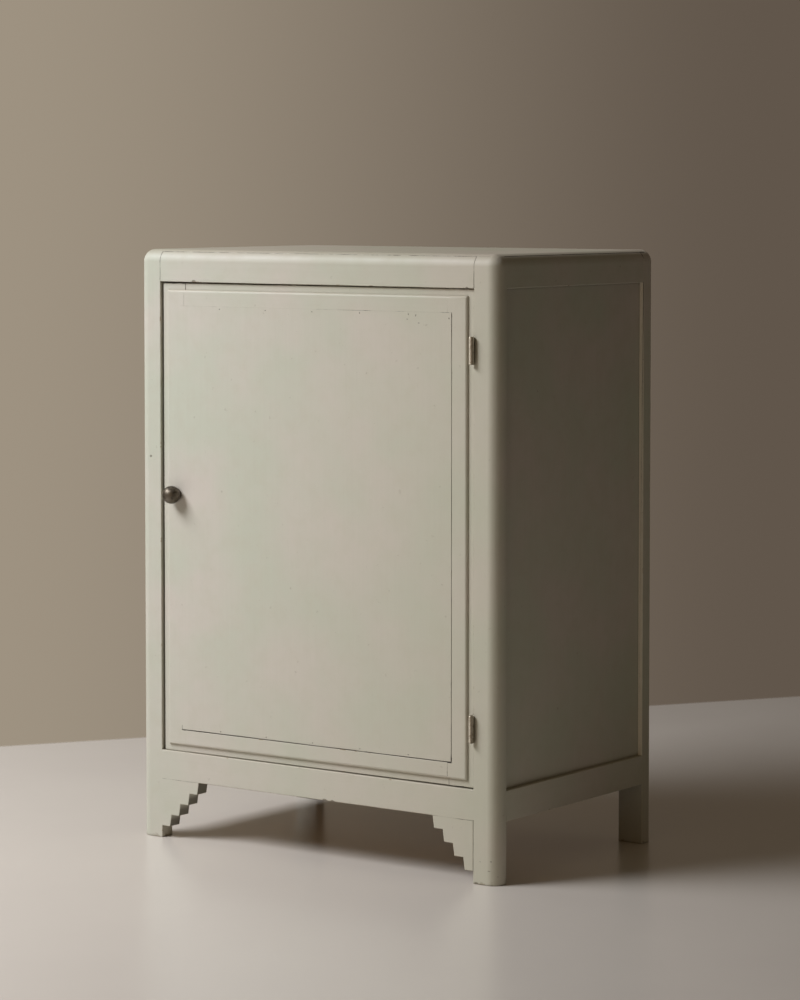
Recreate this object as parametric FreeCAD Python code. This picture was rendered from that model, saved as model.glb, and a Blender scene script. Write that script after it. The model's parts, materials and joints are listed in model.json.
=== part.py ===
import FreeCAD, Part
import os

from FreeCAD import Vector

# Floor-standing painted cupboard: a post-and-rail carcass with stepped brackets under the front rail, and one inset
# framed door on lift-off hinges, closed by a turning latch. Millimetres, +Z up, the front faces -Y.
# Pieces are drawn with Y = 0 in the plane of the front frame, and save() moves them to the part's own origin.

# Overall sizes
WIDTH = 700.0
DEPTH = 430.0
HEIGHT = 950.0
CORNER_RADIUS = 19.5

# Posts and rails
POST_WIDTH = 44.0
FRONT_POST_THICKNESS = 25.0
BACK_POST_THICKNESS = 22.0
LEG_CLEARANCE = 96.0
TOP_RAIL_HEIGHT = 51.5
BOTTOM_RAIL_HEIGHT = 47.0
FRONT_RAIL_THICKNESS = 21.5
SIDE_RAIL_THICKNESS = 22.0

# Joinery
TENON_THICKNESS = 8.0
TENON_SHOULDER = 8.0
TENON_WALL = 6.0
SIDE_TENON_LENGTH = 12.0
BACK_TENON_INSET = 4.0
GROOVE_DEPTH = 8.0
JOINT_PLAY = 0.15
END_PLAY = 0.5

# Panels and boards
SIDE_PANEL_RECESS = 8.0
SIDE_PANEL_THICKNESS = 6.0
BACK_PANEL_THICKNESS = 5.0
BACK_PANEL_LAP = 10.0
TOP_BOARD_THICKNESS = 12.0
TOP_LIP = 8.0
BOTTOM_BOARD_THICKNESS = 16.0
DOOR_STOP_LIP = 8.0
SHELF_THICKNESS = 16.0
SHELF_SETBACK = 40.0
SHELF_COUNT = 2
BOARD_PLAY = 0.3
BATTEN = 20.0

# Stop strip behind the front top rail
STRIP_LENGTH = 400.0
STRIP_THICKNESS = 12.0
STRIP_HEIGHT = 26.0

# Stepped brackets
STEP_COUNT = 4
STEP_WIDTH = 19.0
STEP_LEAN = 3.0
BRACKET_THICKNESS = 24.0

# Door
LATCH_GAP = 3.0
HINGE_GAP = 2.0
DOOR_TOP_GAP = 2.0
DOOR_BOTTOM_GAP = 1.4
STOP_CLEARANCE = 0.3
RIM_WIDTH = 10.5
RIM_DROP = 4.5
FIELD_EDGE_RADIUS = 4.2
STILE_WIDTH = 46.0
DOOR_RAIL_HEIGHT = 43.0
DOOR_PANEL_THICKNESS = 10.0
DOOR_PANEL_LAP = 7.0
DOOR_PANEL_PLAY = 0.6
DOOR_TENON_LENGTH = 28.0
DOOR_TENON_THICKNESS = 6.0
PANEL_PIN_EDGE = 4.0
PANEL_PIN_INSET = 80.0
PANEL_PIN_RADIUS = 0.9
PANEL_PIN_LENGTH = 11.0
PANEL_PIN_SINK = 0.8
PANEL_PIN_COUNT = 5

# Lift-off hinges
HINGE_INSET = 91.0
BARREL_RADIUS = 4.5
BARREL_LENGTH = 42.0
BARREL_STANDOFF = 0.3
BARREL_END_RADIUS = 1.5
KNUCKLE_GAP = 0.5
KNUCKLE_RELIEF = 0.6
HINGE_PIN_RADIUS = 2.25
HINGE_PIN_WALL = 2.5
RUNNING_PLAY = 0.05
LEAF_THICKNESS = 1.5
LEAF_BACK = 18.0
LEAVES_APART = 0.4
LEAF_PLAY = 0.1

# Screws and nails
HINGE_SCREW_RADIUS = 1.5
HINGE_SCREW_LENGTH = 16.0
HINGE_SCREW_SPACING = 24.0
BATTEN_SCREW_RADIUS = 2.0
BATTEN_SCREW_BITE = 13.0
BATTEN_SCREW_COUNT = 3
NAIL_HEAD_RADIUS = 2.2
NAIL_HEAD_THICKNESS = 0.9
NAIL_RADIUS = 0.9
NAIL_LENGTH = 16.0
NAILS_PER_SIDE = 5
NAILS_PER_END = 3
FASTENER_PLAY = 0.05

# Knob and latch
KNOB_RADIUS = 14.5
KNOB_STANDOFF = 14.0
KNOB_FROM_EDGE = 30.0
KNOB_HEIGHT = 558.5
ROSETTE_RADIUS = 9.5
ROSETTE_THICKNESS = 2.2
ROSETTE_EDGE_RADIUS = 0.8
ROSETTE_CLEARANCE = 0.3
SPINDLE_RADIUS = 3.0
TONGUE_WIDTH = 14.0
TONGUE_THICKNESS = 3.0
TONGUE_CLEARANCE = 0.4
TONGUE_BITE = 12.0
SPACER_RADIUS = 6.5
NUT_ACROSS_FLATS = 10.0
NUT_THICKNESS = 4.0
SPINDLE_END = 1.0

# Planes worked out from the sizes above
OUTER = WIDTH / 2
POST_INNER = OUTER - POST_WIDTH
SIDE_RAIL_INNER = OUTER - SIDE_RAIL_THICKNESS
PANEL_OUTER = OUTER - SIDE_PANEL_RECESS
PANEL_INNER = PANEL_OUTER - SIDE_PANEL_THICKNESS
BACK_POST_FRONT = DEPTH - BACK_POST_THICKNESS
OPENING_LOW = LEG_CLEARANCE + BOTTOM_RAIL_HEIGHT
OPENING_HIGH = HEIGHT - TOP_RAIL_HEIGHT
BOTTOM_RAIL = (LEG_CLEARANCE, OPENING_LOW)
TOP_RAIL = (OPENING_HIGH, HEIGHT)
SIDE_TENON_INNER = (PANEL_INNER + PANEL_OUTER - TENON_THICKNESS) / 2
POST_TENON_LENGTH = SIDE_TENON_INNER - TENON_WALL - POST_INNER
BOTTOM_BOARD_TOP = OPENING_LOW + DOOR_STOP_LIP
BOTTOM_BOARD_UNDERSIDE = BOTTOM_BOARD_TOP - BOTTOM_BOARD_THICKNESS
TOP_BOARD_UNDERSIDE = HEIGHT - TOP_BOARD_THICKNESS
STEP_HEIGHT = LEG_CLEARANCE / (STEP_COUNT + 1)
DOOR_LEFT = LATCH_GAP - POST_INNER
DOOR_RIGHT = POST_INNER - HINGE_GAP
DOOR_LOW = OPENING_LOW + DOOR_BOTTOM_GAP
DOOR_HIGH = OPENING_HIGH - DOOR_TOP_GAP
DOOR_BACK = FRONT_RAIL_THICKNESS - STOP_CLEARANCE
HINGE_X = POST_INNER - HINGE_GAP / 2
HINGE_Y = -BARREL_RADIUS - BARREL_STANDOFF
HINGE_HEIGHTS = {"lower": DOOR_LOW + HINGE_INSET, "upper": DOOR_HIGH - HINGE_INSET}
LEAF_LET_IN = (2 * LEAF_THICKNESS + LEAVES_APART - HINGE_GAP) / 2
DOOR_LEAF = (DOOR_RIGHT - LEAF_LET_IN, DOOR_RIGHT - LEAF_LET_IN + LEAF_THICKNESS)
FRAME_LEAF = (POST_INNER + LEAF_LET_IN - LEAF_THICKNESS, POST_INNER + LEAF_LET_IN)
KNOB_X = DOOR_LEFT + KNOB_FROM_EDGE
TONGUE_FRONT = FRONT_POST_THICKNESS + TONGUE_CLEARANCE
TONGUE_BACK = TONGUE_FRONT + TONGUE_THICKNESS
TONGUE_REACH = KNOB_FROM_EDGE + LATCH_GAP + TONGUE_BITE
KNOB_REACH = KNOB_STANDOFF + KNOB_RADIUS

# The origin lies on the floor, under the middle of the bounding box, which the knob makes deeper at the front.
ORIGIN = Vector(0, (DEPTH - KNOB_REACH) / 2, 0)

X_AXIS = Vector(1, 0, 0)
Y_AXIS = Vector(0, 1, 0)
Z_AXIS = Vector(0, 0, 1)
OVERSHOOT = 5.0
FLATNESS = 0.01


def save(name, shape):
    moved = shape.copy()
    moved.translate(-ORIGIN)
    moved.exportStep(f"parts/{name}.step")


def block(x, y, z):
    """Box over three (low, high) spans."""
    return Part.makeBox(x[1] - x[0], y[1] - y[0], z[1] - z[0], Vector(x[0], y[0], z[0]))


def grown(span, play):
    return (span[0] - play, span[1] + play)


def centred(middle, size):
    return (middle - size / 2, middle + size / 2)


def spread(low, high, count):
    """Evenly spaced places from low to high, both included."""
    return [low + (high - low) * i / (count - 1) for i in range(count)]


def mirrored(shape):
    return shape.mirror(Vector(0, 0, 0), X_AXIS)


def both_sides(shape):
    return [shape, mirrored(shape)]


def save_pair(name, right_shape):
    save(f"right_{name}", right_shape)
    save(f"left_{name}", mirrored(right_shape))


def outer_form():
    """The whole carcass as one block, with the rounded edges that run on from piece to piece."""
    whole = block((-OUTER, OUTER), (0, DEPTH), (0, HEIGHT))
    rounded = []
    for edge in whole.Edges:
        middle = edge.CenterOfMass
        front = middle.y < DEPTH / 4
        back = middle.y > DEPTH * 3 / 4
        bottom = middle.z < HEIGHT / 4
        top = middle.z > HEIGHT * 3 / 4
        if (front and not bottom) or (top and not back):
            rounded.append(edge)
    return whole.makeFillet(CORNER_RADIUS, rounded)


# Fasteners


def screw(radius, length, play=0.0):
    """Countersunk wood screw along +X, its head's face at X = 0."""
    head = Part.makeCone(2 * radius + play, radius + play, radius, Vector(0, 0, 0), X_AXIS)
    shank = Part.makeCylinder(radius + play, length + play, Vector(0, 0, 0), X_AXIS)
    return head.fuse(shank).removeSplitter()


def placed(shape, x, y, z):
    moved = shape.copy()
    moved.translate(Vector(x, y, z))
    return moved


def hinge_screws(play=0.0):
    """Screws of both hinges, as (into the post, into the door)."""
    model = screw(HINGE_SCREW_RADIUS, HINGE_SCREW_LENGTH, play)
    y = (RIM_DROP + LEAF_BACK) / 2
    into_post = []
    into_door = []
    for height in HINGE_HEIGHTS.values():
        for z in centred(height, HINGE_SCREW_SPACING):
            into_post.append(placed(model, FRAME_LEAF[0], y, z))
            into_door.append(placed(mirrored(model), DOOR_LEAF[1], y, z))
    return Part.makeCompound(into_post), Part.makeCompound(into_door)


def batten_screws(play=0.0):
    """Screws that hold the top and bottom battens to the right side's rails."""
    model = screw(BATTEN_SCREW_RADIUS, BATTEN + BATTEN_SCREW_BITE, play)
    inset = (BACK_POST_FRONT - FRONT_POST_THICKNESS) / (2 * BATTEN_SCREW_COUNT)
    places = spread(FRONT_POST_THICKNESS + inset, BACK_POST_FRONT - inset, BATTEN_SCREW_COUNT)
    screws = []
    for top in (TOP_BOARD_UNDERSIDE, BOTTOM_BOARD_UNDERSIDE):
        for y in places:
            screws.append(placed(model, SIDE_RAIL_INNER - BATTEN, y, top - BATTEN / 2))
    return Part.makeCompound(screws)


def back_nails(play=0.0):
    """Nails along the border of the back panel, heads flush with its back."""
    head = Part.makeCylinder(NAIL_HEAD_RADIUS + play, NAIL_HEAD_THICKNESS, Vector(0, 0, 0), -Y_AXIS)
    shank = Part.makeCylinder(NAIL_RADIUS + play, NAIL_LENGTH + play, Vector(0, 0, 0), -Y_AXIS)
    model = head.fuse(shank)
    x_side = POST_INNER + BACK_PANEL_LAP / 2
    z_low = OPENING_LOW - BACK_PANEL_LAP / 2
    z_high = OPENING_HIGH + BACK_PANEL_LAP / 2
    nails = []
    for z in spread(OPENING_LOW + BACK_PANEL_LAP, OPENING_HIGH - BACK_PANEL_LAP, NAILS_PER_SIDE):
        nails.extend(placed(model, x, DEPTH, z) for x in (-x_side, x_side))
    for x in spread(-POST_INNER / 2, POST_INNER / 2, NAILS_PER_END):
        nails.extend(placed(model, x, DEPTH, z) for z in (z_low, z_high))
    return Part.makeCompound(nails)


def panel_pins(play=0.0, sink=PANEL_PIN_SINK):
    """Headless pins that hold the door panel's top and bottom edges, sunk below its face."""
    model = Part.makeCylinder(PANEL_PIN_RADIUS + play, PANEL_PIN_LENGTH + play, Vector(0, 0, 0), Y_AXIS)
    x_span, z_span = door_panel_spans()
    pins = []
    for x in spread(*grown(x_span, -PANEL_PIN_INSET), PANEL_PIN_COUNT):
        for z in (z_span[0] + PANEL_PIN_EDGE, z_span[1] - PANEL_PIN_EDGE):
            pins.append(placed(model, x, sink, z))
    return Part.makeCompound(pins)


def panel_pin_holes():
    shallow = panel_pins(FASTENER_PLAY, 0.0)
    return shallow.fuse(panel_pins(FASTENER_PLAY))


# Carcass joints, each drawn at the right side


def post_tenon(rail, y_middle):
    """Tenon at the right end of a front or back rail."""
    return (
        (POST_INNER, POST_INNER + POST_TENON_LENGTH),
        centred(y_middle, TENON_THICKNESS),
        (rail[0] + TENON_SHOULDER, min(rail[1], TOP_BOARD_UNDERSIDE) - TENON_SHOULDER),
    )


def side_tenons(rail):
    """Tenons at the front and back ends of a side rail, clear of the panel's groove and of the top board."""
    x = (SIDE_TENON_INNER, SIDE_TENON_INNER + TENON_THICKNESS)
    inset = TENON_SHOULDER + GROOVE_DEPTH
    z = (rail[0] + inset, min(rail[1] - inset, TOP_BOARD_UNDERSIDE - TENON_SHOULDER))
    front = (x, (FRONT_POST_THICKNESS - SIDE_TENON_LENGTH, FRONT_POST_THICKNESS), z)
    back = (x, (BACK_POST_FRONT, BACK_POST_FRONT + SIDE_TENON_LENGTH), z)
    return front, back


FRONT_TENON_Y = FRONT_RAIL_THICKNESS / 2
BACK_TENON_Y = BACK_POST_FRONT + BACK_TENON_INSET + TENON_THICKNESS / 2


def mortise(spans):
    return block(*[grown(span, JOINT_PLAY) for span in spans])


def side_panel_pocket():
    """Groove round the side panel, cut into the posts and rails."""
    return block(
        grown((PANEL_INNER, PANEL_OUTER), JOINT_PLAY),
        (FRONT_POST_THICKNESS - GROOVE_DEPTH, BACK_POST_FRONT + GROOVE_DEPTH),
        (OPENING_LOW - GROOVE_DEPTH, OPENING_HIGH + GROOVE_DEPTH),
    )


def back_panel_spans(play=0.0):
    return (
        grown((-POST_INNER - BACK_PANEL_LAP, POST_INNER + BACK_PANEL_LAP), play),
        (DEPTH - BACK_PANEL_THICKNESS, DEPTH),
        grown((OPENING_LOW - BACK_PANEL_LAP, OPENING_HIGH + BACK_PANEL_LAP), play),
    )


def back_cutters():
    """What the back panel and its nails take out of the back posts and rails."""
    return [block(*back_panel_spans(JOINT_PLAY)), back_nails(FASTENER_PLAY)]


def top_board_area(play=0.0):
    """Spans of the top board in X and Y, inside the lip that the posts and rails leave round it."""
    return grown((-OUTER, OUTER), play - TOP_LIP), grown((0, DEPTH), play - TOP_LIP)


def top_rebate():
    """What the top board takes out of the posts and rails."""
    x_span, y_span = top_board_area(JOINT_PLAY)
    return block(x_span, y_span, (TOP_BOARD_UNDERSIDE, HEIGHT + OVERSHOOT))


# Carcass pieces


def front_post(form):
    body = block((POST_INNER, OUTER), (0, FRONT_POST_THICKNESS), (0, HEIGHT)).common(form)
    cutters = [side_panel_pocket(), top_rebate()]
    for rail in (BOTTOM_RAIL, TOP_RAIL):
        cutters.append(mortise(post_tenon(rail, FRONT_TENON_Y)))
        cutters.append(mortise(side_tenons(rail)[0]))
    return body.cut(cutters)


def hinge_recesses():
    """Shallow seats for the frame leaves in the right front post."""
    return [
        block(
            (POST_INNER - OVERSHOOT, POST_INNER + LEAF_LET_IN),
            (-OVERSHOOT, LEAF_BACK + LEAF_PLAY),
            grown(centred(height, BARREL_LENGTH), LEAF_PLAY),
        )
        for height in HINGE_HEIGHTS.values()
    ]


def back_post(form):
    body = block((POST_INNER, OUTER), (BACK_POST_FRONT, DEPTH), (0, HEIGHT)).common(form)
    cutters = [side_panel_pocket(), top_rebate()] + back_cutters()
    for rail in (BOTTOM_RAIL, TOP_RAIL):
        cutters.append(mortise(post_tenon(rail, BACK_TENON_Y)))
        cutters.append(mortise(side_tenons(rail)[1]))
    return body.cut(cutters)


def cross_rail(form, rail, y_span, tenon_y):
    """Front or back rail with a tenon at each end."""
    body = block((-POST_INNER, POST_INNER), y_span, rail).common(form).cut(top_rebate())
    return body.fuse(both_sides(block(*post_tenon(rail, tenon_y)))).removeSplitter()


def side_rail(form, rail):
    body = block((SIDE_RAIL_INNER, OUTER), (FRONT_POST_THICKNESS, BACK_POST_FRONT), rail).common(form)
    body = body.fuse([block(*spans) for spans in side_tenons(rail)]).removeSplitter()
    return body.cut([side_panel_pocket(), top_rebate(), batten_screws(FASTENER_PLAY)])


def side_panel():
    return block(
        (PANEL_INNER, PANEL_OUTER),
        grown((FRONT_POST_THICKNESS - GROOVE_DEPTH, BACK_POST_FRONT + GROOVE_DEPTH), -END_PLAY),
        grown((OPENING_LOW - GROOVE_DEPTH, OPENING_HIGH + GROOVE_DEPTH), -END_PLAY),
    )


def back_panel():
    return block(*back_panel_spans()).cut(back_nails(FASTENER_PLAY))


def top_board(form):
    """Board let into the top of the posts and rails, its edges part of the rounding."""
    x_span, y_span = top_board_area()
    return block(x_span, y_span, (TOP_BOARD_UNDERSIDE, HEIGHT)).common(form)


def bottom_board():
    """Board between the bottom rails, notched round the front posts."""
    edge = SIDE_RAIL_INNER - BOARD_PLAY
    z_span = (BOTTOM_BOARD_UNDERSIDE, BOTTOM_BOARD_TOP)
    body = block((-edge, edge), (FRONT_RAIL_THICKNESS, BACK_POST_FRONT), z_span)
    notch = block(
        (POST_INNER - BOARD_PLAY, OUTER),
        (0, FRONT_POST_THICKNESS + BOARD_PLAY),
        z_span,
    )
    return body.cut(both_sides(notch))


def shelf_tops():
    bay = (TOP_BOARD_UNDERSIDE - BOTTOM_BOARD_TOP) / (SHELF_COUNT + 1)
    return [BOTTOM_BOARD_TOP + bay * (i + 1) for i in range(SHELF_COUNT)]


def shelf(top):
    """Shelf that reaches the back panel, notched round the back posts."""
    edge = PANEL_INNER - BOARD_PLAY
    z_span = (top - SHELF_THICKNESS, top)
    body = block((-edge, edge), (SHELF_SETBACK, DEPTH - BACK_PANEL_THICKNESS - BOARD_PLAY), z_span)
    notch = block((POST_INNER - BOARD_PLAY, OUTER), (BACK_POST_FRONT - BOARD_PLAY, DEPTH), z_span)
    return body.cut(both_sides(notch))


def batten(x_outer, top):
    """Right-hand batten between the posts, its top under a board."""
    return block((x_outer - BATTEN, x_outer), (FRONT_POST_THICKNESS, BACK_POST_FRONT), (top - BATTEN, top))


def stepped_bracket():
    """Right-hand bracket: leaning steps that go down towards the post, the lowest one step above the floor."""
    points = [(POST_INNER, LEG_CLEARANCE)]
    for i in range(STEP_COUNT, 0, -1):
        x = POST_INNER - i * STEP_WIDTH
        level = STEP_COUNT - i
        points.append((x, LEG_CLEARANCE - level * STEP_HEIGHT))
        points.append((x + STEP_LEAN, LEG_CLEARANCE - (level + 1) * STEP_HEIGHT))
    points.append((POST_INNER, LEG_CLEARANCE - STEP_COUNT * STEP_HEIGHT))
    corners = [Vector(x, 0, z) for x, z in points]
    outline = Part.makePolygon(corners + corners[:1])
    return Part.Face(outline).extrude(Vector(0, BRACKET_THICKNESS, 0))


def stop_strip():
    """Strip behind the front top rail that the door's top edge closes against."""
    return block(
        centred(0, STRIP_LENGTH),
        (FRONT_RAIL_THICKNESS, FRONT_RAIL_THICKNESS + STRIP_THICKNESS),
        (OPENING_HIGH - DOOR_STOP_LIP, OPENING_HIGH - DOOR_STOP_LIP + STRIP_HEIGHT),
    )


# Door


def door_form():
    """The whole door: a flat slab for the rim, with the raised field in front of it."""
    slab = block((DOOR_LEFT, DOOR_RIGHT), (RIM_DROP, DOOR_BACK), (DOOR_LOW, DOOR_HIGH))
    x_span = grown((DOOR_LEFT, DOOR_RIGHT), -RIM_WIDTH)
    z_span = grown((DOOR_LOW, DOOR_HIGH), -RIM_WIDTH)
    field = block(x_span, (0, DOOR_BACK), z_span)
    front_edges = [edge for edge in field.Edges if edge.CenterOfMass.y < RIM_DROP / 4]
    return slab.fuse(field.makeFillet(FIELD_EDGE_RADIUS, front_edges)).removeSplitter()


def door_panel_spans():
    x_inset = STILE_WIDTH - DOOR_PANEL_LAP
    z_inset = DOOR_RAIL_HEIGHT - DOOR_PANEL_LAP
    return grown((DOOR_LEFT, DOOR_RIGHT), -x_inset), grown((DOOR_LOW, DOOR_HIGH), -z_inset)


def door_panel():
    x_span, z_span = door_panel_spans()
    return block(x_span, (0, DOOR_PANEL_THICKNESS), z_span).cut(panel_pin_holes())


def panel_rebate():
    """Recess for the panel, which is pinned tight against its left and top edges."""
    x_span, z_span = door_panel_spans()
    return block(
        (x_span[0], x_span[1] + DOOR_PANEL_PLAY),
        (-OVERSHOOT, DOOR_PANEL_THICKNESS),
        (z_span[0] - DOOR_PANEL_PLAY, z_span[1]),
    )


DOOR_RAILS = {
    "top": (DOOR_HIGH - DOOR_RAIL_HEIGHT, DOOR_HIGH),
    "bottom": (DOOR_LOW, DOOR_LOW + DOOR_RAIL_HEIGHT),
}


def door_tenons(rail):
    """Tenons at both ends of a door rail, behind the panel's rebate."""
    y = centred((DOOR_PANEL_THICKNESS + DOOR_BACK) / 2, DOOR_TENON_THICKNESS)
    z = grown(rail, -TENON_SHOULDER)
    left = (DOOR_LEFT + STILE_WIDTH - DOOR_TENON_LENGTH, DOOR_LEFT + STILE_WIDTH)
    right = (DOOR_RIGHT - STILE_WIDTH, DOOR_RIGHT - STILE_WIDTH + DOOR_TENON_LENGTH)
    return [(left, y, z), (right, y, z)]


def door_stile(form, x_span):
    body = form.common(block(x_span, (-OVERSHOOT, DOOR_BACK), (DOOR_LOW, DOOR_HIGH)))
    tenons = [spans for rail in DOOR_RAILS.values() for spans in door_tenons(rail)]
    return body.cut([panel_rebate()] + [mortise(spans) for spans in tenons])


def door_rail(form, rail):
    between = (DOOR_LEFT + STILE_WIDTH, DOOR_RIGHT - STILE_WIDTH)
    body = form.common(block(between, (-OVERSHOOT, DOOR_BACK), rail))
    body = body.cut(panel_rebate())
    body = body.fuse([block(*spans) for spans in door_tenons(rail)]).removeSplitter()
    return body.cut(panel_pin_holes())


def leaf_seats():
    """Shallow seats for the door leaves in the right stile's edge."""
    return [
        block(
            (DOOR_RIGHT - LEAF_LET_IN, DOOR_RIGHT + OVERSHOOT),
            (0, LEAF_BACK + LEAF_PLAY),
            grown(centred(height, BARREL_LENGTH), LEAF_PLAY),
        )
        for height in HINGE_HEIGHTS.values()
    ]


def spindle_bore(radius):
    return Part.makeCylinder(radius, KNOB_REACH + DEPTH, Vector(KNOB_X, -KNOB_STANDOFF, KNOB_HEIGHT), Y_AXIS)


# Hinges


def knuckle(z_span, rounded_z):
    """Barrel half, rounded at its free end."""
    body = Part.makeCylinder(BARREL_RADIUS, z_span[1] - z_span[0], Vector(HINGE_X, HINGE_Y, z_span[0]), Z_AXIS)
    rims = [edge for edge in body.Edges if edge.BoundBox.ZLength < FLATNESS]
    ends = [edge for edge in rims if abs(edge.CenterOfMass.z - rounded_z) < FLATNESS]
    return body.makeFillet(BARREL_END_RADIUS, ends)


def hinge_spans(height):
    """Spans of the lower knuckle and the upper knuckle."""
    low, high = centred(height, BARREL_LENGTH)
    below, above = centred(height, KNUCKLE_GAP)
    return (low, below), (above, high)


def hinge_pin_cylinder(height, play=0.0):
    low, high = grown(centred(height, BARREL_LENGTH), -HINGE_PIN_WALL)
    start = Vector(HINGE_X, HINGE_Y, low)
    return Part.makeCylinder(HINGE_PIN_RADIUS + play, high - low + play, start, Z_AXIS)


def leaf(x_span, own, free_end, screws, height):
    """Hinge leaf with its own knuckle, cut back where the other leaf's knuckle turns."""
    relief = HINGE_Y + BARREL_RADIUS + KNUCKLE_RELIEF
    whole = centred(height, BARREL_LENGTH)
    plate = block(x_span, (relief, LEAF_BACK), whole)
    tongue = block(x_span, (HINGE_Y, LEAF_BACK), own)
    body = plate.fuse([tongue, knuckle(own, free_end)]).removeSplitter()
    return body.cut([hinge_pin_cylinder(height, RUNNING_PLAY), screws])


def frame_leaf(height):
    lower = hinge_spans(height)[0]
    return leaf(FRAME_LEAF, lower, lower[0], hinge_screws(FASTENER_PLAY)[0], height)


def door_leaf(height):
    upper = hinge_spans(height)[1]
    return leaf(DOOR_LEAF, upper, upper[1], hinge_screws(FASTENER_PLAY)[1], height)


# Knob and latch


def knob():
    """Ball with a flat back that turns just clear of the rosette."""
    ball = Part.makeSphere(KNOB_RADIUS, Vector(KNOB_X, -KNOB_STANDOFF, KNOB_HEIGHT))
    flat = Vector(KNOB_X, -ROSETTE_THICKNESS - ROSETTE_CLEARANCE, KNOB_HEIGHT)
    behind = Part.makeCylinder(KNOB_RADIUS, KNOB_RADIUS, flat, Y_AXIS)
    return ball.cut([behind, spindle_bore(SPINDLE_RADIUS + FASTENER_PLAY)])


def knob_rosette():
    face = Vector(KNOB_X, 0, KNOB_HEIGHT)
    disc = Part.makeCylinder(ROSETTE_RADIUS, ROSETTE_THICKNESS, face, -Y_AXIS)
    rims = [edge for edge in disc.Edges if edge.BoundBox.YLength < FLATNESS]
    front = [edge for edge in rims if edge.CenterOfMass.y < -ROSETTE_THICKNESS / 2]
    return disc.makeFillet(ROSETTE_EDGE_RADIUS, front).cut(spindle_bore(SPINDLE_RADIUS + RUNNING_PLAY))


def knob_spindle():
    length = KNOB_STANDOFF + TONGUE_BACK + NUT_THICKNESS + SPINDLE_END
    return Part.makeCylinder(SPINDLE_RADIUS, length, Vector(KNOB_X, -KNOB_STANDOFF, KNOB_HEIGHT), Y_AXIS)


def latch_spacer():
    """Sleeve on the spindle that holds the tongue clear of the left post's back."""
    front = DOOR_BACK + STOP_CLEARANCE
    at = Vector(KNOB_X, front, KNOB_HEIGHT)
    sleeve = Part.makeCylinder(SPACER_RADIUS, TONGUE_FRONT - front, at, Y_AXIS)
    return sleeve.cut(spindle_bore(SPINDLE_RADIUS + FASTENER_PLAY))


def latch_tongue():
    """Flat tongue that hangs from the spindle. Turned a quarter, it lies behind the left post."""
    radius = TONGUE_WIDTH / 2
    tip_z = KNOB_HEIGHT - TONGUE_REACH + radius
    body = block(centred(KNOB_X, TONGUE_WIDTH), (TONGUE_FRONT, TONGUE_BACK), (tip_z, KNOB_HEIGHT))
    ends = []
    for z in (tip_z, KNOB_HEIGHT):
        ends.append(Part.makeCylinder(radius, TONGUE_THICKNESS, Vector(KNOB_X, TONGUE_FRONT, z), Y_AXIS))
    return body.fuse(ends).removeSplitter().cut(spindle_bore(SPINDLE_RADIUS + FASTENER_PLAY))


def spindle_nut():
    """Hexagon nut behind the tongue."""
    corner = NUT_ACROSS_FLATS / 3**0.5
    start = Vector(KNOB_X + corner, TONGUE_BACK, KNOB_HEIGHT)
    centre = Vector(KNOB_X, TONGUE_BACK, KNOB_HEIGHT)
    turn = FreeCAD.Rotation(Y_AXIS, 360 / 6)
    corners = [start]
    for _ in range(5):
        corners.append(centre + turn.multVec(corners[-1] - centre))
    outline = Part.makePolygon(corners + corners[:1])
    body = Part.Face(outline).extrude(Vector(0, NUT_THICKNESS, 0))
    return body.cut(spindle_bore(SPINDLE_RADIUS + FASTENER_PLAY))


def save_carcass():
    form = outer_form()
    post = front_post(form)
    save("left_front_post", mirrored(post))
    save("right_front_post", post.cut(hinge_recesses() + [hinge_screws(FASTENER_PLAY)[0]]))
    save_pair("back_post", back_post(form))
    front = (0, FRONT_RAIL_THICKNESS)
    back = (BACK_POST_FRONT, DEPTH)
    for place, rail in (("top", TOP_RAIL), ("bottom", BOTTOM_RAIL)):
        save(f"front_{place}_rail", cross_rail(form, rail, front, FRONT_TENON_Y))
        save(f"back_{place}_rail", cross_rail(form, rail, back, BACK_TENON_Y).cut(back_cutters()))
        save_pair(f"side_{place}_rail", side_rail(form, rail))
    save_pair("side_panel", side_panel())
    save("back_panel", back_panel())
    save("back_panel_nails", back_nails())
    save_pair("stepped_bracket", stepped_bracket())
    save("door_stop_strip", stop_strip())
    save("top_board", top_board(form))


def save_boards():
    save("bottom_board", bottom_board())
    holes = batten_screws(FASTENER_PLAY)
    save_pair("top_batten", batten(SIDE_RAIL_INNER, TOP_BOARD_UNDERSIDE).cut(holes))
    save_pair("bottom_batten", batten(SIDE_RAIL_INNER, BOTTOM_BOARD_UNDERSIDE).cut(holes))
    save("batten_screws", Part.makeCompound(both_sides(batten_screws())))
    for number, top in enumerate(shelf_tops(), start=1):
        save(f"shelf_{number}", shelf(top))
        save_pair(f"shelf_{number}_batten", batten(PANEL_INNER, top - SHELF_THICKNESS))


def save_door():
    form = door_form()
    left = door_stile(form, (DOOR_LEFT, DOOR_LEFT + STILE_WIDTH))
    save("door_left_stile", left.cut(spindle_bore(SPINDLE_RADIUS + RUNNING_PLAY)))
    right = door_stile(form, (DOOR_RIGHT - STILE_WIDTH, DOOR_RIGHT))
    save("door_right_stile", right.cut(leaf_seats() + [hinge_screws(FASTENER_PLAY)[1]]))
    for place, rail in DOOR_RAILS.items():
        save(f"door_{place}_rail", door_rail(form, rail))
    save("door_panel", door_panel())
    save("door_panel_pins", panel_pins())


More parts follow.
